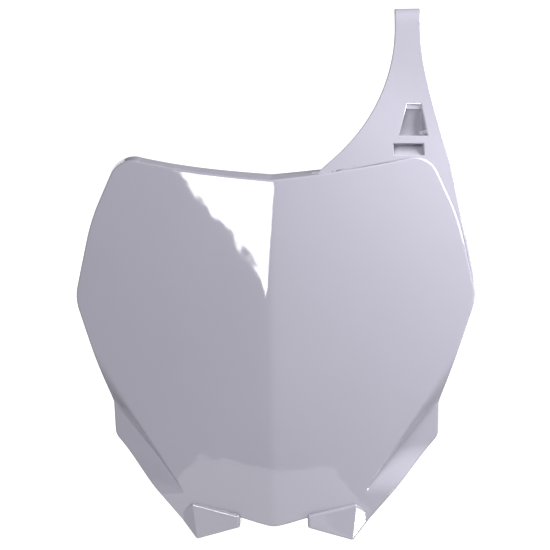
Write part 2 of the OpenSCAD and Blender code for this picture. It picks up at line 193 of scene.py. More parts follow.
top_stop = top_corner_x - 2 * top_corner_r
right = corner_path([
    (notch_x, chin_z(notch_x)),
    (foot_cover_x, foot_cover_h, foot_cover_r, 2 * corner_half),
    (wing_x, wing_h, wing_r, 10),
    (waist_x, waist_h, waist_r, 8),
    (half_w, widest_h, widest_r, 14),
    (shoulder_x, shoulder_h, shoulder_r, 14),
    (top_corner_x, top_z(top_corner_x), top_corner_r, 2 * corner_half),
    (top_stop, top_z(top_stop)),
])
side = divided(right[1 + corner_half : len(right) - 1 - corner_half], side_step)
bottom_x = np.linspace(0, notch_x, 16)
bottom_edge = np.vstack([np.column_stack([bottom_x, chin_z(bottom_x)]), right[1 : 2 + corner_half]])
top_x = np.linspace(0, right[-2][0] - 1, 40)
top_arc = right[-2 : -3 - corner_half : -1]
top_edge = np.vstack([np.column_stack([top_x, top_z(top_x)]), top_arc])
print("side of the outline has", len(side), "points")

# %% [markdown]
# ## The sheet
# Each half is filled with columns: from the keel to the crease, down the side wall, and out to the
# edge. Laying the columns along the crease keeps the light from breaking up on it.

# %% Points on the face
face_columns = np.concatenate([
    np.linspace(0, 0.06, 8)[:-1], np.linspace(0.06, 0.94, 42)[:-1], np.linspace(0.94, 1, 5)
])
wall_columns, edge_columns = np.linspace(0, 1, 15)[1:], np.linspace(0, 1, 9)[1:]
crease_limit, valley_limit, least_share = 0.89, 0.95, 0.03


def patch_z(u, v):
    """Height at a share u of the way out and a share v of the way up."""
    low = np.interp(u * side[0][0], bottom_edge[:, 0], bottom_edge[:, 1])
    high = np.interp(u * side[-1][0], top_edge[:, 0], top_edge[:, 1])
    return mix(low, high, v)


def patch_row(x, z):
    """One row of points, from the keel out to the point (x, z) of the outline."""
    v = (z - side[0][1]) / (side[-1][1] - side[0][1])
    guess = min(crease_limit, crease_x(z) / x)
    crease = min(crease_limit, crease_x(patch_z(guess, v)) / x)
    valley = min(valley_limit, max(crease + least_share, valley_x(patch_z(crease, v)) / x))
    u = np.concatenate([
        face_columns * crease, mix(crease, valley, wall_columns), mix(valley, 1, edge_columns)
    ])
    return np.column_stack([u * x, np.zeros_like(u), patch_z(u, v)])


half = np.array([patch_row(x, z) for x, z in side])
board_grid = np.concatenate([half[:, :0:-1] * (-1, 1, 1), half], axis=1)
board_grid[..., 1] = side_wall(board_grid[..., 0], board_grid[..., 2])
print("board grid", board_grid.shape)

# %% [markdown]
# ## Turning a sheet into a wall
# A moulded wall is a front, a back and an edge. The edge is a set of rings, each with a distance
# inwards from the outline and a distance to the rear, so a rounding is only a few more rings.

# %% Sheet helpers
def edge_loop(grid):
    """The points round the edge of a grid, once round."""
    return np.concatenate([grid[0], grid[1:, -1], grid[-1, -2::-1], grid[-2:0:-1, 0]])


def outward(loop, rear):
    """Direction out of the sheet at each point of its edge."""
    across = np.cross(rear, np.roll(loop, -1, 0) - np.roll(loop, 1, 0))
    return across / np.linalg.norm(across, axis=1)[:, None]


def nearest_edge(j, i, n, m):
    """The number, on the edge loop, of the point that lies nearest to a point of the grid."""
    if min(i, m - i) <= min(j, n - j):
        return (2 * m + 2 * n - j) % (2 * (n + m)) if i < m / 2 else m + j
    return i if j < n / 2 else 2 * m + n - i


def inset(grid, out, distance, reach=7):
    """The sheet with its edge drawn in. The points near the edge make room for it."""
    n, m = grid.shape[0] - 1, grid.shape[1] - 1
    distance = np.broadcast_to(distance, len(out))
    moved = grid.copy()
    for j in range(n + 1):
        for i in range(m + 1):
            near = min(i, m - i, j, n - j)
            if near < reach:
                k = nearest_edge(j, i, n, m)
                moved[j, i] -= distance[k] * (1 - near / reach) * out[k]
    return moved


print("a sheet of 2 by 2 faces has", len(edge_loop(np.zeros((3, 3, 3)))), "points on its edge")

# %% [markdown]
# A front, its rings and a back are joined by bands of quads to one closed mesh. from_pydata takes
# plain lists of points and faces, and bmesh then turns all faces outwards, because the booleans that
# come later need to know the inside from the outside.

# %% Closed meshes
def in_scene(name, data):
    """An object of the scene that shows the data."""
    obj = bpy.data.objects.new(name, data)
    bpy.context.scene.collection.objects.link(obj)
    return obj


def sheet_mesh(name, front, rings, back):
    """A closed mesh from a front, the rings of its edge and a back."""
    n, m = front.shape[0] - 1, front.shape[1] - 1
    size, around = (n + 1) * (m + 1), 2 * (n + m)
    number = np.arange(size).reshape(n + 1, m + 1)
    a, b = number[:-1, :-1], number[:-1, 1:]
    c, d = number[1:, 1:], number[1:, :-1]
    front_faces = np.stack([a, b, c, d], -1).reshape(-1, 4)
    back_faces = front_faces[:, ::-1] + size + len(rings) * around
    loop = edge_loop(number[..., None])[:, 0]
    loops = [loop] + [size + r * around + np.arange(around) for r in range(len(rings))]
    loops.append(loop + size + len(rings) * around)
    bands = [
        np.stack([p, q, np.roll(q, -1), np.roll(p, -1)], -1) for p, q in zip(loops, loops[1:])
    ]
    faces = np.concatenate([front_faces, back_faces, *bands])
    points = np.concatenate([front.reshape(-1, 3), *rings, back.reshape(-1, 3)])
    return solid(name, points, faces.tolist())


def solid(name, points, faces):
    """A mesh object in mould coordinates, with its faces turned outwards."""
    mesh = bpy.data.meshes.new(name)
    mesh.from_pydata([tuple(p) for p in points], [], faces)
    shape = bmesh.new()
    shape.from_mesh(mesh)
    bmesh.ops.recalc_face_normals(shape, faces=shape.faces)
    shape.to_mesh(mesh)
    shape.free()
    return in_scene(name, mesh)


print("the face's edge has", len(edge_loop(board_grid)), "points for the rings")

# %% [markdown]
# The real edge is turned back, which stiffens the thin face and hides where it was trimmed. Solidify
# and Bevel would make it equally deep all round. Rings let it be shallow at the sides and a deeper,
# flared lip on top, which fades out where the arm begins.

# %% The board's edge
edge_r, side_rim = 1.4, 6.8
lip_depth, lip_flare, lip_growth = 11.0, 2.8, 0.4
lip_early, lip_turn = 0.05, 0.7
board_loop = edge_loop(board_grid)
board_out = outward(board_loop * (1, 0, 1), np.tile((0.0, 1.0, 0.0), (len(board_loop), 1)))
root_from, lip_end_x = 26.0, 70.0
lip_share = ease((board_out[:, 2] + lip_early) / lip_turn)
lip_share = lip_share * ease((lip_end_x - board_loop[:, 0]) / (lip_end_x - root_from))
lip_size = 1 + lip_growth * (1 - ease(np.abs(board_loop[:, 0]) / lip_end_x))
everywhere = np.ones(len(board_loop))


def board_ring(inwards, depth, share=0.0):
    """A ring of the edge, at a share of the way to the rear of the turned-back edge."""
    lean = share * lip_share * lip_size * lip_flare
    ring = board_loop - (inwards - lean)[:, None] * board_out
    base = np.where(inwards > 0, side_wall(ring[:, 0], ring[:, 2]), board_loop[:, 1])
    lip = mix(edge_r, lip_size * lip_depth, share) if share else depth
    ring[:, 1] = base + mix(depth, lip, lip_share)
    return ring


def board_rim(inwards, share):
    """A ring on the turned-back edge, from its front (0) to its rear (1)."""
    return board_ring(inwards * everywhere, mix(edge_r, side_rim, share), share)


rim_end, soften, chamfer = 0.8 * wall, 0.45, 0.12
rounding = np.radians([15, 30, 45, 60, 75, 90])
board_rings = [
    board_ring(edge_r * (1 - math.sin(a)) * everywhere, edge_r * (1 - math.cos(a))) for a in rounding
]
board_rings += [board_rim(0, s) for s in (0.25, 0.5, 0.75, 0.93)]
board_rings += [board_rim(chamfer, 0.98), board_rim(soften, 1.0), board_rim(rim_end - soften, 1.0)]
board_rings += [board_rim(rim_end - chamfer, 0.98), board_rim(rim_end, 0.93)]
fillet = 1.0
for a in np.radians([0, 30, 60]):
    into, down = wall + fillet * (1 - math.cos(a)), wall + fillet * (1 - math.sin(a))
    board_rings.append(board_ring(into * everywhere, down))
print("the edge has", len(board_rings), "rings of", len(board_loop), "points")

# %% [markdown]
# The moulding has one wall all over, so its back is the front once more, a wall further to the rear.
# Both are drawn in at the edge to meet the first and the last ring. The board is still flat here,
# apart from its side walls, which makes its rings easy to place.

# %% The flat board
def on_depth(grid, depth):
    """The sheet on the face's own depth, or behind it."""
    grid = grid.copy()
    grid[..., 1] = side_wall(grid[..., 0], grid[..., 2]) + depth
    return grid


board = sheet_mesh(
    "board",
    on_depth(inset(board_grid, board_out, edge_r), 0),
    board_rings,
    on_depth(inset(board_grid, board_out, wall + fillet), wall),
)
print("board has", len(board.data.polygons), "faces")

# %% [markdown]
# ## Bending the board with Geometry Nodes
# The flat board follows one rule, so a node tree bends it: every point moves to the rear by the
# depth of the face at its place. The five sizes are inputs of the tree, and a designer could drag
# them to see another board. The tree ends in Realize Instances and Set Material.

# %% The bending tree
def node_value(tree, kind, values, operation=None):
    """Adds a node and gives its output. A value is a number or the output of another node."""
    node = tree.nodes.new(kind)
    if operation:
        node.operation = operation
    for socket, value in zip(node.inputs, values):
        if isinstance(value, (int, float)):
            socket.default_value = value
        else:
            tree.links.new(value, socket)
    return node.outputs[0]


def bending_tree():
    tree = bpy.data.node_groups.new("bend_to_the_rear", "GeometryNodeTree")
    face = tree.interface
    face.new_socket("Geometry", in_out="INPUT", socket_type="NodeSocketGeometry")
    for label in ("Keel slope", "Keel rounding", "Sweep radius", "Crown radius", "Crown height"):
        face.new_socket(label, in_out="INPUT", socket_type="NodeSocketFloat")
    face.new_socket("Material", in_out="INPUT", socket_type="NodeSocketMaterial")
    face.new_socket("Geometry", in_out="OUTPUT", socket_type="NodeSocketGeometry")
    nodes, link = tree.nodes, tree.links.new
    given = nodes.new("NodeGroupInput").outputs

    def maths(operation, *values):
        return node_value(tree, "ShaderNodeMath", values, operation)

    place = nodes.new("ShaderNodeSeparateXYZ")
    link(nodes.new("GeometryNodeInputPosition").outputs[0], place.inputs[0])
    x, z = place.outputs["X"], place.outputs["Z"]
    x_squared = maths("POWER", x, 2)
    soft_squared = maths("POWER", given["Keel rounding"], 2)
    rounded = maths("SQRT", maths("ADD", x_squared, soft_squared))
    from_keel = maths("SUBTRACT", rounded, given["Keel rounding"])
    keel = maths("MULTIPLY", from_keel, given["Keel slope"])
    sweep = maths("DIVIDE", x_squared, maths("MULTIPLY", given["Sweep radius"], 2))
    up = maths("SUBTRACT", z, given["Crown height"])
    crown = maths("DIVIDE", maths("MULTIPLY", up, up), maths("MULTIPLY", given["Crown radius"], 2))
    depth = maths("ADD", maths("ADD", keel, sweep), crown)
    back = nodes.new("ShaderNodeCombineXYZ")
    link(depth, back.inputs["Y"])
    move = nodes.new("GeometryNodeSetPosition")
    link(given["Geometry"], move.inputs["Geometry"])
    link(back.outputs[0], move.inputs["Offset"])
    whole = nodes.new("GeometryNodeRealizeInstances")
    link(move.outputs[0], whole.inputs[0])
    paint = nodes.new("GeometryNodeSetMaterial")
    link(whole.outputs[0], paint.inputs["Geometry"])
    link(given["Material"], paint.inputs["Material"])
    link(paint.outputs[0], nodes.new("NodeGroupOutput").inputs[0])
    return tree


bend = bending_tree()
print("tree", bend.name, "has", len(bend.nodes), "nodes")

# %% [markdown]
# A modifier runs the tree on the board. Its result is then kept as the board's own mesh and the
# modifier is taken off, because the export wants plain meshes. The five sizes are the ones that the
# arm, the feet and the tab read too, so all of them meet the bent face.

# %% Bend the board
plastic = bpy.data.materials.new("gloss_polypropylene")


def run_tree(obj, tree, values):
    """Runs a tree on an object and keeps the result as its plain mesh."""
    modifier = obj.modifiers.new("nodes", "NODES")
    modifier.node_group = tree
    for item in tree.interface.items_tree:
        if item.in_out == "INPUT" and item.name in values:
            modifier[item.identifier] = values[item.name]
    return keep_result(obj)


def keep_result(obj):
    """The object's mesh with its modifiers run, which are then removed."""
    bpy.context.view_layer.update()
    evaluated = obj.evaluated_get(bpy.context.evaluated_depsgraph_get())
    result = bpy.data.meshes.new_from_object(evaluated)
    obj.modifiers.clear()
    obj.data = result
    return obj


run_tree(board, bend, {
    "Keel slope": math.tan(keel_angle),
    "Keel rounding": keel_soft,
    "Sweep radius": sweep_r,
    "Crown radius": crown_r,
    "Crown height": crown_z,
    "Material": plastic,
})
print("bent board:", len(board.data.vertices), "points")

# %% [markdown]
# ## The arm and its strap
# The arm grows out of the right side and the top of the board's edge, narrows to the strap, and
# bends back over the handlebar. It is one patch stretched between four edges: the root inside the
# board's edge, two sides, and the strap. The sides are paths with rounded corners again.

# %% Edges of the arm
strap_w, strap_x, strap_h = 16.8, 86.6, 329.5
root_in, root_below, hip_in = 0.33 * wall, 1.0, 1.1
inner_curve_h, inner_r, hip_h, hip_r = 52.5, 112.0, 12.0, 27.0
bend_out_h, bend_out_r, neck_h, neck_r = 18.0, 150.0, 20.0, 120.0
root_line = corner_path([
    (root_from, top_z(root_from)),
    (top_corner_x, top_z(top_corner_x), top_corner_r, 24),
    (shoulder_x, shoulder_h, shoulder_r, 16),
    (half_w - hip_in, widest_h - root_below),
])


def moved_sideways(path, distance):
    """The path moved to its right."""
    n = len(path)
    ahead = path[[min(k + 1, n - 1) for k in range(n)]] - path[[max(k - 1, 0) for k in range(n)]]
    ahead = ahead / np.linalg.norm(ahead, axis=1)[:, None]
    return path + distance * np.column_stack([ahead[:, 1], -ahead[:, 0]])


root = moved_sideways(root_line, root_in)
arm_inner = corner_path([
    root[0],
    (strap_x - strap_w / 2, strap_h - inner_curve_h, inner_r, 48),
    (strap_x - strap_w / 2, strap_h),
])
arm_outer = corner_path([
    root[-1],
    (half_w - hip_in, widest_h + hip_h, hip_r, 10),
    (shoulder_x, shoulder_h + bend_out_h, bend_out_r, 12),
    (strap_x + strap_w / 2, strap_h - neck_h, neck_r, 16),
    (strap_x + strap_w / 2, strap_h),
])
print("sides of the arm have", len(arm_inner), "and", len(arm_outer), "points")

# %% [markdown]
# The patch between the four edges is a Coons patch: rows from the root to the strap, columns from
# side to side, and their common part taken off once. The root is far wider than the strap. A straight
# blend of the two would fold over the right edge, so the rows leave the root's shape a little faster.

# %% The arm's patch
arm_drop, arm_columns, arm_rows, root_fan = 3.0, 26, 120, 1.5


def along(path, shares):
    """Points at shares of a path's length."""
    run = np.concatenate([[0], np.cumsum(np.linalg.norm(np.diff(path, axis=0), axis=1))])
    at = np.asarray(shares) * run[-1]
    return np.column_stack([np.interp(at, run, path[:, 0]), np.interp(at, run, path[:, 1])])


across, up = np.linspace(0, 1, arm_columns + 1), np.linspace(0, 1, arm_rows + 1)
s, t = np.meshgrid(across, up)
s, t = s[..., None], t[..., None]
strap_edge = np.column_stack([strap_x + (across - 0.5) * strap_w, np.full_like(across, strap_h)])
low, high = along(root, across)[None], strap_edge[None]
left, right_side = along(arm_inner, up)[:, None], along(arm_outer, up)[:, None]
rise = 1 - (1 - t) ** root_fan
corners = mix(mix(root[0], root[-1], s), mix(strap_edge[0], strap_edge[-1], s), rise)
arm_flat = mix(low, high, rise) + mix(left, right_side, s) - corners

flat_from, flat_below = 250.0, 6.0
flat_over = strap_h - flat_below - flat_from


def arm_y(x, z):
    """Depth of the arm's front, which turns to face straight forward at the strap."""
    return bow(mix(x, strap_x, ease((z - flat_from) / flat_over)), z) + arm_drop


def arm_rear(x, z, d=0.5):
    """Direction to the rear, square to the arm."""
    rear = np.stack([
        arm_y(x - d, z) - arm_y(x + d, z), np.full_like(x, 2 * d), arm_y(x, z - d) - arm_y(x, z + d)
    ], -1)
    return rear / np.linalg.norm(rear, axis=-1)[..., None]


flat_x, flat_z = arm_flat[..., 0], arm_flat[..., 1]
arm_front = np.stack([flat_x, arm_y(flat_x, flat_z), flat_z], -1)
arm_dirs = arm_rear(flat_x, flat_z)
print("arm grid", arm_front.shape)

# %% [markdown]
# The strap hooks over a handlebar. Its bend is an arc round the bar with a small clearance, and it
# narrows on the way to its straight tail. The rows go on from the patch, so arm, bend and tail stay
# one sheet with one edge.

# %% The bend over the handlebar
bar_d, bar_clearance, arm_t = 22.0, 0.5, 3.0
tail_w, tail_l, narrow_from, narrow_over = 11.0, 44.0, 60.0, 100.0
bend_r = bar_d / 2 + bar_clearance + arm_t
bend_from = math.atan((strap_h - crown_z) / crown_r)
bend_start = np.array([strap_x, float(arm_y(strap_x, strap_h)), strap_h])


def bend_rear(turn):
    """Direction from the strap's front to the bar, after a turn of the bend."""
    return np.array([0, math.cos(bend_from + turn), -math.sin(bend_from + turn)])


bend_centre = bend_start + bend_r * bend_rear(0)


def bend_row(turn, run):
    """A row of the strap, after a turn round the bar and a straight run."""
    width = mix(strap_w, tail_w, float(ease((math.degrees(turn) - narrow_from) / narrow_over)))
    middle = bend_centre - bend_r * bend_rear(turn)
    middle = middle + run * np.array([0, math.sin(bend_from + turn), math.cos(bend_from + turn)])
    return middle + np.outer(across - 0.5, (width, 0, 0))


turns = np.linspace(0, math.pi, 49)[1:]
runs = np.linspace(0, tail_l, 17)[1:]
arm_grid = np.concatenate([
    arm_front, [bend_row(a, 0) for a in turns], [bend_row(math.pi, r) for r in runs]
])
arm_dirs = np.concatenate([
    arm_dirs,
    [np.tile(bend_rear(a), (arm_columns + 1, 1)) for a in turns],
    [np.tile(bend_rear(math.pi), (arm_columns + 1, 1)) for r in runs],
])
print("arm, bend and tail:", len(arm_grid), "rows")

# %% [markdown]
# The arm's edge has a low rim behind it, which fades out before the strap so that the strap can
# flex. The right edge is rounder than the left one, and both are crisper near the strap. The corner
# at the right end of the root takes its neighbour's direction, so that no spike stands out there.

# %% The arm's edge
arm_rim, rim_gain, rim_end_below, rim_fade_h = 2.0, 3.5, 20.0, 60.0
arm_edge_r, right_edge_r, round_gain, deepest_round = 0.9, 2.4, 5.0, 1.9
crisp_from, crisp_over = 270.0, 45.0
rear_soften, rear_chamfer, rear_in = 0.4, 0.1, 0.3
arm_loop, arm_loop_dirs = edge_loop(arm_grid), edge_loop(arm_dirs)
arm_out = outward(arm_loop, arm_loop_dirs)
arm_out[arm_columns] = arm_out[arm_columns + 1]
arm_last = len(arm_grid) - 1
row_number = np.repeat(np.arange(arm_last + 1), arm_columns + 1)
row_of = edge_loop(row_number.reshape(arm_last + 1, -1, 1))[:, 0]
share_up = row_of / arm_rows
rim_share = ease(rim_gain * share_up) * (row_of <= arm_rows)
rim_share = rim_share * ease((strap_h - rim_end_below - arm_loop[:, 2]) / rim_fade_h)
right_edge = np.zeros(len(arm_loop))
right_edge[arm_columns : arm_columns + arm_last + 1] = 1
crisp = ease((arm_loop[:, 2] - crisp_from) / crisp_over)
arm_round = mix(arm_edge_r, right_edge_r, right_edge * ease(round_gain * share_up) * (1 - crisp))


def arm_ring(inwards, depth, extra):
    """A ring of the edge. The extra depth is added where the arm has its rim."""
    depth = depth + extra * rim_share
    return arm_loop - np.outer(inwards, (1, 1, 1)) * arm_out + depth[:, None] * arm_loop_dirs


round_depth = np.minimum(arm_round, deepest_round)
arm_rings = [
    arm_ring(arm_round * (1 - math.sin(a)), round_depth * (1 - math.cos(a)), 0) for a in rounding
]
none, arm_inside = np.zeros(len(arm_loop)), 0.8 * arm_t
arm_rings += [
    arm_ring(none, arm_t - rear_soften, arm_rim),
    arm_ring(none + rear_chamfer, arm_t - rear_chamfer, arm_rim),
    arm_ring(none + rear_soften, arm_t, arm_rim),
    arm_ring(none + arm_inside, arm_t, arm_rim),
]
arm_back = inset(arm_grid, arm_out, arm_t + rear_in) + arm_t * arm_dirs
arm = sheet_mesh("arm", inset(arm_grid, arm_out, arm_round, 5), arm_rings, arm_back)
print("arm has", len(arm.data.polygons), "faces")

# %% [markdown]
# ## The belt keeper
# A tapered window and a lower one let a belt pass behind a short bar. Seen through both is a
# curved floor. The pocket is a prism with the windows' outline, cut by a profile that is drawn
# from the side: prisms and boolean modifiers, as in the mould itself.

# %% Prisms
def tube(name, points):
    """A closed solid between two rings of points, with as many in the first as in the second."""
    n = len(points) // 2
    faces = [list(range(n)), list(range(2 * n - 1, n - 1, -1))]
    faces += [[k, k + n, (k + 1) % n + n, (k + 1) % n] for k in range(n)]
    return solid(name, points, faces)


def prism(name, outline, low_end, high_end, place):
    """A flat outline pushed along, between two heights. place says where a point goes."""
    return tube(name, [place(a, b, end) for end in (low_end, high_end) for a, b in outline])


def combine(obj, other, operation):
    """Boolean of two closed meshes. The second one is used up."""
    modifier = obj.modifiers.new("boolean", "BOOLEAN")
    modifier.operation = operation
    modifier.solver = "MANIFOLD"
    modifier.object = other
    keep_result(obj)
    bpy.data.objects.remove(other)
    return obj


keeper_x, keeper_h = 88.0, 253.8
lean = math.atan(float(arm_y(keeper_x, keeper_h + 1) - arm_y(keeper_x, keeper_h)))
swing = math.atan(float(arm_y(keeper_x + 1, keeper_h) - arm_y(keeper_x, keeper_h)))
to_keeper = (
    Matrix.Translation((keeper_x, float(arm_y(keeper_x, keeper_h)), keeper_h))
    @ Matrix.Rotation(swing, 4, "Z") @ Matrix.Rotation(-lean, 4, "X")
)


def in_front(a, b, depth):
    """A point of an outline that is seen from the front."""
    return to_keeper @ Vector((a, depth, b))


def from_side(depth, b, a):
    """A point of an outline that is seen from the side."""
    return to_keeper @ Vector((a, depth, b))


print("the arm leans", round(math.degrees(lean), 1), "degrees back at the keeper")

# %% [markdown]
# Seen from the front, the pocket has the outline of both windows. Seen from the side, it has a ledge
# under the top and a curved floor. Each view is a prism, and what both share is the pocket. The same
# two prisms, grown by a wall, make the blister behind the arm. The bar is left standing between
# the windows.

# %% Outline and profile of the pocket
keeper_w, keeper_narrow_w, keeper_gap, keeper_depth = 19.7, 9.0, 2.6, 8.0
keeper_skin, keeper_wall = 2.2, 1.8
window_x, window_lean, low_window_x = 1.6, 1.7, -1.8
window_h, low_window_h = 20.5, 7.4
window_top, keeper_bottom = keeper_gap + window_h, -keeper_gap - low_window_h
ledge_h, ledge_depth, floor_skew, floor_fullness = 2.8, 1.4, 0.9, 0.75
floor_top, far, inner_far = window_top - ledge_h, 30.0, 29.0


def keeper_outline(grow):
    """Both windows in one outline, seen from the front."""
    wide, narrow, step = keeper_w / 2 + grow, keeper_narrow_w / 2 + grow, keeper_gap / 2
    return [
        (window_x + window_lean - narrow, window_top + grow),
        (window_x + window_lean + narrow, window_top + grow),
        (window_x + wide, step), (low_window_x + wide, -step),
        (low_window_x + wide, keeper_bottom - grow), (low_window_x - wide, keeper_bottom - grow),
        (low_window_x - wide, -step), (window_x - wide, step),
    ]


def keeper_profile(front, grow):
    """The pocket from the side: a ledge at the top, then a floor that dips behind the bar."""
    z = np.linspace(floor_top, keeper_bottom, 41)
    down = np.clip((floor_top - z) / (floor_top - keeper_bottom), 0, 1)
    dip = np.sin(math.pi * down**floor_skew).clip(0) ** floor_fullness
    depth = ledge_depth + (keeper_depth - ledge_depth) * dip
    z[-1] -= grow
    floor = list(zip(depth + grow, z))
    ledge = [(ledge_depth + grow, window_top + grow)]
    return [(front, keeper_bottom - grow), (front, window_top + grow)] + ledge + floor


keeper = combine(
    prism("keeper", keeper_outline(keeper_wall), -far, far, in_front),
    prism("keeper_side", keeper_profile(keeper_skin / 2, keeper_wall), -far, far, from_side),
    "INTERSECT",
)
pocket = combine(
    prism("pocket", keeper_outline(0), -inner_far, inner_far, in_front),
    prism("pocket_side", keeper_profile(-far / 2, 0), -far, far, from_side),
    "INTERSECT",
)
bar_box = [(-far, -keeper_gap), (far, -keeper_gap), (far, keeper_gap), (-far, keeper_gap)]
combine(pocket, prism("bar", bar_box, -2 * far, keeper_skin, in_front), "DIFFERENCE")
print("pocket has", len(pocket.data.polygons), "faces")

# %% [markdown]
# A moulded window has no knife edge. A bevel after the booleans would meet thin faces, so each
# window gets a funnel instead: a ring-shaped slope round it, which is cut away with the pocket.

# %% Broken edges of the windows
window_edge = 0.5


def window_corners(grow, low):
    """The corners of one window, grown to all sides."""
    wide, narrow = keeper_w / 2 + grow, keeper_narrow_w / 2 + grow
    if low:
        x, top, bottom = low_window_x, -keeper_gap + grow, keeper_bottom - grow
        return [(x - wide, top), (x + wide, top), (x + wide, bottom), (x - wide, bottom)]
    part = (keeper_gap / 2) / (window_top - keeper_gap / 2)
    wide, x = mix(wide, narrow, part), mix(window_x, window_x + window_lean, part)
    tip, top, bottom = window_x + window_lean, window_top + grow, keeper_gap - grow
    return [(tip - narrow, top), (tip + narrow, top), (x + wide, bottom), (x - wide, bottom)]


def funnel(name, low, width, steps=8):
    """A ring-shaped slope that follows the arm's front and takes the edge off a window."""
    points = []
    for grow, depth in ((2 * width, -width), (0, width)):
        corners = np.array(window_corners(grow, low))
        for a, b in zip(corners, np.roll(corners, -1, 0)):
            for k in range(steps):
                p = to_keeper @ Vector((*mix(a, b, k / steps), 0)).xzy
                points.append((p.x, float(arm_y(p.x, p.z)) + depth, p.z))
    return tube(name, points)


funnels = [funnel(f"funnel_{low}", low, window_edge) for low in (0, 1)]
print("two funnels of", len(funnels[0].data.polygons), "faces")

# %% [markdown]
# ## The feet
# A foot is a hollow wedge with rounded edges. Balls are put at its corners and a convex hull is
# drawn over them, which rounds every edge by the balls' radius. Each ball is drawn out to the
# rear, so the foot runs straight back from its front.

# %% Hulls of rods
foot_h, foot_proud, foot_depth, foot_r, ball_step = 23.5, 3.2, 13.0, 1.8, 7.5
apex_proud = 0.6 * foot_proud
foot_apex_x, foot_top_h, foot_low_h = foot_x + 4, foot_h - 6, 8.6
foot_edge_x, foot_edge_h = foot_x + 13, 15.5


def hull_of_rods(name, rods, radius, shift, extra, side_sign):
    """The hull of rods that run to the rear. A rod is (x, z, how far it stands before the face)."""
    shape = bmesh.new()
    for x, z, proud in rods:
        front = float(bow(x, z)) - proud + foot_r + shift
        rear = front + foot_depth + extra
        for a in np.radians(np.arange(0, 91, ball_step)):
            for b in np.radians(np.arange(0, 360, ball_step)):
                dx, dz = radius * math.sin(a) * math.cos(b), radius * math.sin(a) * math.sin(b)
                shape.verts.new((side_sign * (x + dx), front - radius * math.cos(a), z + dz))
                shape.verts.new((side_sign * (x + dx), rear, z + dz))
    bmesh.ops.remove_doubles(shape, verts=shape.verts, dist=1e-4)
    hull = bmesh.ops.convex_hull(shape, input=shape.verts)
    inside = hull["geom_interior"] + hull["geom_unused"]
    loose = {item for item in inside if isinstance(item, bmesh.types.BMVert)}
    bmesh.ops.delete(shape, geom=list(loose), context="VERTS")
    bmesh.ops.recalc_face_normals(shape, faces=shape.faces)
    mesh = bpy.data.meshes.new(name)
    shape.to_mesh(mesh)
    shape.free()
    return in_scene(name, mesh)


foot_rods = [
    (foot_apex_x - foot_r, foot_h - foot_r, apex_proud),
    (foot_inner_x + foot_r, foot_top_h - foot_r, foot_proud),
    (foot_inner_x + foot_r, foot_low_h + foot_r, foot_proud),
    (foot_x, foot_r, foot_proud),
    (foot_edge_x - foot_r, foot_edge_h, -wall / 2),
]
socket_rods = [
    (foot_apex_x - 1.5 * wall, foot_h - 2 * wall, apex_proud),
    (foot_inner_x + 2 * wall, foot_top_h - 1.2 * wall, foot_proud),
    (foot_inner_x + 2 * wall, foot_low_h + wall, foot_proud),
    (foot_x - 0.4 * wall, 1.6 * wall, foot_proud),
]
feet = [hull_of_rods(f"foot_{n}", foot_rods, foot_r, 0, 0, n) for n in (1, -1)]
sockets = [hull_of_rods(f"socket_{n}", socket_rods, foot_r / 2, wall, wall, n) for n in (1, -1)]
print("a foot has", len(feet[0].data.polygons), "faces")

# %% [markdown]
# ## The rear tab
# A flat tab with a rounded end takes the bolt. Two ribs hold it up from below. Their long edges
# get a small bevel before they join the board, because no moulded edge is knife sharp.

# %% Tab, ribs and bolt hole
tab_t, tab_end_r, tab_w, tab_edge, bolt_d = 4.0, 10.0, 44.0, 0.4, 6.5
rib_t, rib_h, rib_in, rib_foot, rib_edge = 2.4, 32.0, 8.0, 2.0, 0.3
sharp_angle = math.radians(40)
tab_root = wall / 2
rib_x = tab_w / 2 - rib_in


def flat_at(height):
    """Places a flat outline at a height."""
    return lambda a, b, h: Vector((a, b, height + h))


def bolt_arc(r, angles):
    """Points round the bolt."""
    return [(r * math.cos(a), bolt_back + r * math.sin(a)) for a in angles]


side_y, keel_y = (float(bow(x, tab_h)) + tab_root for x in (tab_w / 2, 0))
tab_outline = [(-tab_w / 2, side_y), (0, keel_y), (tab_w / 2, side_y)]
tab_outline += bolt_arc(tab_end_r, np.linspace(0, math.pi, 49))


def beveled(obj, width):
    """Softens every sharp edge."""
    modifier = obj.modifiers.new("bevel", "BEVEL")
    modifier.width = width
    modifier.segments = 3
    modifier.limit_method = "ANGLE"
    modifier.angle_limit = sharp_angle
    return keep_result(obj)


tab = beveled(prism("tab", tab_outline, -tab_t / 2, tab_t / 2, flat_at(tab_h)), tab_edge)
rib_low = tab_h - rib_h
rib_outline = [
    (float(bow(rib_x, rib_low)) + tab_root, rib_low),
    (float(bow(rib_x, rib_low)) + wall + rib_foot, rib_low),
    (bolt_back - tab_end_r, tab_h),
    (float(bow(rib_x, tab_h)) + tab_root, tab_h),
]
ribs = [
    beveled(prism(f"rib_{n}", rib_outline, -rib_t / 2, rib_t / 2,
                  lambda y, z, x, n=n: Vector((n * rib_x + x, y, z))), rib_edge)
    for n in (1, -1)
]
hole_line = bolt_arc(bolt_d / 2, np.linspace(0, 2 * math.pi, 97)[:-1])
hole = prism("hole", hole_line, -2 * tab_t, 2 * tab_t, flat_at(tab_h))
print("tab has", len(tab.data.polygons), "faces")

# %% [markdown]
# ## One moulding
# The real board comes out of one mould, so all the solids become one skin, and the pockets are cut
# out of it. Points that lie within a thousandth of a millimetre are then merged. The print counts
# the few short edges, along the seams, that are left without exactly two faces.

# %% Join and cut
merge_at = 1e-3
number_board = board
number_board.name = "number_board_moulding"
for other in (arm, keeper, *feet, tab, *ribs):
    combine(number_board, other, "UNION")
for other in (pocket, *funnels, *sockets, hole):
    combine(number_board, other, "DIFFERENCE")

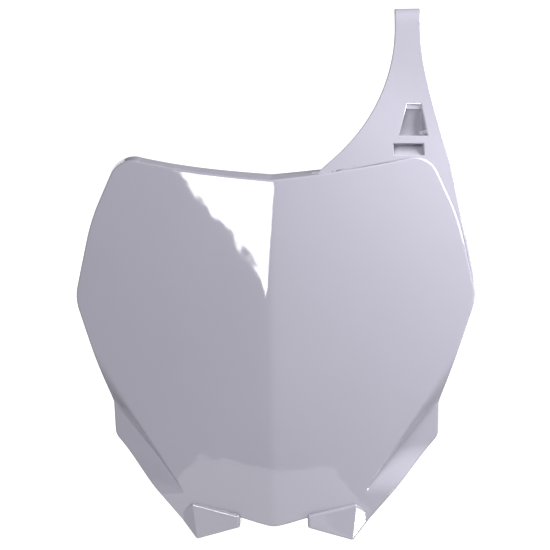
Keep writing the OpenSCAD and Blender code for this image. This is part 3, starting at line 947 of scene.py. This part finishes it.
shape = bmesh.new()
shape.from_mesh(number_board.data)
bmesh.ops.remove_doubles(shape, verts=shape.verts, dist=merge_at)
bmesh.ops.dissolve_degenerate(shape, edges=shape.edges, dist=merge_at)
odd_edges = sum(not e.is_manifold for e in shape.edges)
for v in shape.verts:
    v.co = Vector(to_part([v.co])[0])
shape.to_mesh(number_board.data)
shape.free()
triangles = sum(len(p.vertices) - 2 for p in number_board.data.polygons)
print("moulding:", triangles, "triangles,", odd_edges, "odd edges")

# %% [markdown]
# Booleans leave thin faces along each seam. The normals are weighted by area, so the large faces
# decide the shading, and the light runs clean over the surface. Corners above a crease angle stay
# sharp.

# %% Shading
crease_angle = math.radians(28)
mesh = number_board.data
mesh.shade_smooth()
mesh.set_sharp_from_angle(angle=crease_angle)
weighted = number_board.modifiers.new("weighted", "WEIGHTED_NORMAL")
weighted.mode = "FACE_AREA"
weighted.weight = 50
weighted.keep_sharp = True
keep_result(number_board)
number_board.data.materials.clear()
number_board.data.materials.append(plastic)
print("normals weighted on", len(number_board.data.loops), "corners")

# %% [markdown]
# ## The finish
# The moulding is glossy polypropylene in a pale, cool grey. Real mouldings are never perfectly
# even: the polished tool leaves a faint ripple, and handling leaves fine hairlines that only show
# in reflections. Noise textures make both without any picture. The hairlines' noise is squeezed
# in height, so its lines run across, as wiping leaves them.

# %% Noise for the group
hair_scale, hair_detail, hair_squeeze = 60.0, 6.0, (1.0, 1.0, 14.0)
hair_from, hair_full, grain_depth = 0.55, 0.75, 0.01
cloud_scale, middle_low, middle_high = 9.0, 0.3, 0.7


def noise_value(tree, place, scale, detail, squeeze=None):
    """A noise texture at a place, which may be squeezed. The scale may be a node's output."""
    if squeeze:
        mapping = tree.nodes.new("ShaderNodeMapping")
        mapping.inputs["Scale"].default_value = squeeze
        tree.links.new(place, mapping.inputs["Vector"])
        place = mapping.outputs[0]
    node = tree.nodes.new("ShaderNodeTexNoise")
    node.inputs["Detail"].default_value = detail
    if isinstance(scale, (int, float)):
        node.inputs["Scale"].default_value = scale
    else:
        tree.links.new(scale, node.inputs["Scale"])
    tree.links.new(place, node.inputs["Vector"])
    return node.outputs["Fac"]


print("hairlines are squeezed", hair_squeeze[2], "times in height")

# %% [markdown]
# The group's inputs are the values that differ from one plastic to the next. Its outputs go to the
# shader's own sockets. It reads Object coordinates, so the pattern stays on the piece.

# %% Moulded plastic group
def moulded_group():
    group = bpy.data.node_groups.new("moulded_surface", "ShaderNodeTree")
    face = group.interface
    for label, value in (
        ("Ripple scale", 20.0), ("Ripple height", 0.0003), ("Grain scale", 2500.0),
        ("Roughness", 0.1), ("Hairlines", 0.03), ("Shade", 0.02),
    ):
        face.new_socket(label, in_out="INPUT", socket_type="NodeSocketFloat").default_value = value
    face.new_socket("Color", in_out="INPUT", socket_type="NodeSocketColor")
    face.new_socket("Color", in_out="OUTPUT", socket_type="NodeSocketColor")
    face.new_socket("Roughness", in_out="OUTPUT", socket_type="NodeSocketFloat")
    face.new_socket("Normal", in_out="OUTPUT", socket_type="NodeSocketVector")
    nodes, link = group.nodes, group.links.new
    given, out = nodes.new("NodeGroupInput").outputs, nodes.new("NodeGroupOutput").inputs
    place = nodes.new("ShaderNodeTexCoord").outputs["Object"]

    def noise(scale, detail, squeeze=None):
        return noise_value(group, place, scale, detail, squeeze)

    def ranged(*values):
        return node_value(group, "ShaderNodeMapRange", values)

    def maths(operation, *values):
        return node_value(group, "ShaderNodeMath", values, operation)

    ripple = noise(given["Ripple scale"], 1.0)
    grain = noise(given["Grain scale"], 2.0)
    bump = nodes.new("ShaderNodeBump")
    bump.inputs["Distance"].default_value = 1.0
    bump.inputs["Strength"].default_value = 1.0
    height = maths("MULTIPLY", ripple, given["Ripple height"])
    link(height, bump.inputs["Height"])
    link(bump.outputs[0], out["Normal"])
    hairs = noise(hair_scale, hair_detail, hair_squeeze)
    lines = ranged(hairs, hair_from, hair_full, 0.0, 1.0)
    rough = maths("ADD", given["Roughness"], maths("MULTIPLY", lines, given["Hairlines"]))
    grains = ranged(grain, middle_low, middle_high, 0.0, 1.0)
    rough = maths("ADD", rough, maths("MULTIPLY", grains, grain_depth))
    link(rough, out["Roughness"])
    shade = nodes.new("ShaderNodeHueSaturation")
    link(given["Color"], shade.inputs["Color"])
    clouds = ranged(noise(cloud_scale, 2.0), middle_low, middle_high, -1.0, 1.0)
    tone = maths("MULTIPLY", clouds, given["Shade"])
    link(maths("ADD", tone, 1.0), shade.inputs["Value"])
    link(shade.outputs[0], out["Color"])
    return group


moulded = moulded_group()
print("group", moulded.name, "has", len(moulded.nodes), "nodes")

# %% [markdown]
# The group feeds the colour, the roughness and the normal of one shader. The colour is a mid grey
# with some blue, because the gloss adds its own light. The ripple of this tool is fine and very
# shallow, so it only shows where the edge of a lamp's reflection wavers.

# %% Paint the moulding
plastic.use_nodes = True
tree = plastic.node_tree
shader = tree.nodes["Principled BSDF"]
surface = tree.nodes.new("ShaderNodeGroup")
surface.node_tree = moulded
surface.inputs["Color"].default_value = (0.29, 0.283, 0.331, 1)
surface.inputs["Roughness"].default_value = 0.04
surface.inputs["Ripple scale"].default_value = 70.0
surface.inputs["Ripple height"].default_value = 0.00013
for label, socket in (("Color", "Base Color"), ("Roughness", "Roughness"), ("Normal", "Normal")):
    tree.links.new(surface.outputs[label], shader.inputs[socket])
shader.inputs["IOR"].default_value = 1.55
print("material", plastic.name, "on", number_board.name)

# %% [markdown]
# ## The stage
# A product is photographed over pale paper that curves up behind it. Gloss shows its surroundings,
# so the paper's size matters here: the board mirrors its front edge as a lighter zone over the feet,
# and the dim room beside it as dark side walls. That is why the sweep is narrow and ends early.

# %% Floor and backdrop
def glowing(name, color, strength):
    """A dull material that gives off an even light."""
    material = bpy.data.materials.new(name)
    material.use_nodes = True
    paint = material.node_tree.nodes["Principled BSDF"]
    paint.inputs["Base Color"].default_value = (0.2, 0.2, 0.2, 1)
    paint.inputs["Roughness"].default_value = 0.9
    paint.inputs["Specular IOR Level"].default_value = 0.0
    paint.inputs["Emission Color"].default_value = (*color, 1)
    paint.inputs["Emission Strength"].default_value = strength
    return material


def sweep_stage(left, right, front, back, floor, height, radius):
    """A floor that curves up into a wall."""
    line = [(front, floor), (back - radius, floor)]
    line += [(back - radius + radius * math.sin(a), floor + radius * (1 - math.cos(a)))
             for a in np.linspace(0, math.pi / 2, 17)[1:]]
    line.append((back, height))
    points = [(x, y, z) for y, z in line for x in (left, right)]
    faces = [(2 * k, 2 * k + 1, 2 * k + 3, 2 * k + 2) for k in range(len(line) - 1)]
    mesh = bpy.data.meshes.new("sweep")
    mesh.from_pydata(points, [], faces)
    mesh.shade_smooth()
    return in_scene("sweep", mesh)


sweep = sweep_stage(left=-0.5, right=0.31, front=-0.81, back=0.9, floor=-0.42, height=0.46, radius=0.5)
sweep.data.materials.append(glowing("pale_sweep", (0.96, 0.96, 0.965), 1.05))
print("the sweep has", len(sweep.data.polygons), "faces")

# %% [markdown]
# Three soft boxes light the board. The left one stands in front and is mirrored as the bright
# triangle beside the keel. The right one is at the side and gives the right half its soft gradient.
# A small one, low on the right, is mirrored by the outer facet of the right foot. The room stays
# dim.

# %% Lights
world = bpy.data.worlds.new("room")
bpy.context.scene.world = world
world.use_nodes = True
room = world.node_tree.nodes["Background"]
room.inputs["Color"].default_value = (0.80, 0.80, 0.84, 1)
room.inputs["Strength"].default_value = 0.1


def soft_box(name, centre, facing, width, height, radiance, tilt=0.0):
    """A rectangle of light. It is turned by the tilt in its own plane."""
    light = bpy.data.lights.new(name, "AREA")
    light.shape = "RECTANGLE"
    light.size, light.size_y = width, height
    light.energy = radiance * math.pi * width * height
    turn = Vector(facing).to_track_quat("-Z", "Y").to_matrix() @ Matrix.Rotation(tilt, 3, "Z")
    box = in_scene(name, light)
    box.matrix_world = Matrix.Translation(centre) @ turn.to_4x4()
    return box


left_place, left_tilt = Vector((-0.389, -1.284, 0.532)), math.radians(-44)
right_place, right_aim = Vector((0.512, -0.09, 0.4)), Vector((0, 0, 0.1))
low_place, low_aim = Vector((0.19, -0.089, -0.161)), Vector((0.055, -0.017, -0.087))
boxes = [
    soft_box("left_box", left_place, (0, 1, 0), 0.79, 0.58, 15.5, left_tilt),
    soft_box("right_box", right_place, right_aim - right_place, 0.5, 0.5, 14),
    soft_box("low_box", low_place, low_aim - low_place, 0.04, 0.04, 16),
]
print("lights:", ", ".join(box.name for box in boxes))

# %% [markdown]
# ## The camera
# The photograph was taken nearly head on, a little from the right and from above, with a long
# lens. The view's tilt is a fraction of a degree.

# %% Camera
azimuth, elevation, roll = math.radians(3.8), math.radians(3.3), math.radians(-0.49)
distance, pixel, picture_w, sensor_w = 0.861, 0.63 * MM, 550, 36
target = Vector(to_part([(1.87, 15.0, 169.2)])[0])
level = math.cos(elevation)
back_dir = Vector((math.sin(azimuth) * level, -math.cos(azimuth) * level, math.sin(elevation)))
across_dir = Vector((math.cos(azimuth), math.sin(azimuth), 0))
up_dir = back_dir.cross(across_dir)
right_dir = across_dir * math.cos(roll) + up_dir * math.sin(roll)
top_dir = up_dir * math.cos(roll) - across_dir * math.sin(roll)
camera = in_scene("camera", bpy.data.cameras.new("camera"))
camera.data.sensor_width = sensor_w
camera.data.lens = sensor_w * (distance / pixel) / picture_w
camera.matrix_world = Matrix.Translation(target + distance * back_dir) @ Matrix(
    (right_dir, top_dir, back_dir)
).transposed().to_4x4()
bpy.context.scene.camera = camera
bpy.context.scene.view_settings.view_transform = "Standard"
print("lens", round(camera.data.lens, 1), "mm")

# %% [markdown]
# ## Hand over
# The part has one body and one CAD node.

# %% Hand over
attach(number_board, "root")
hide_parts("number_board")
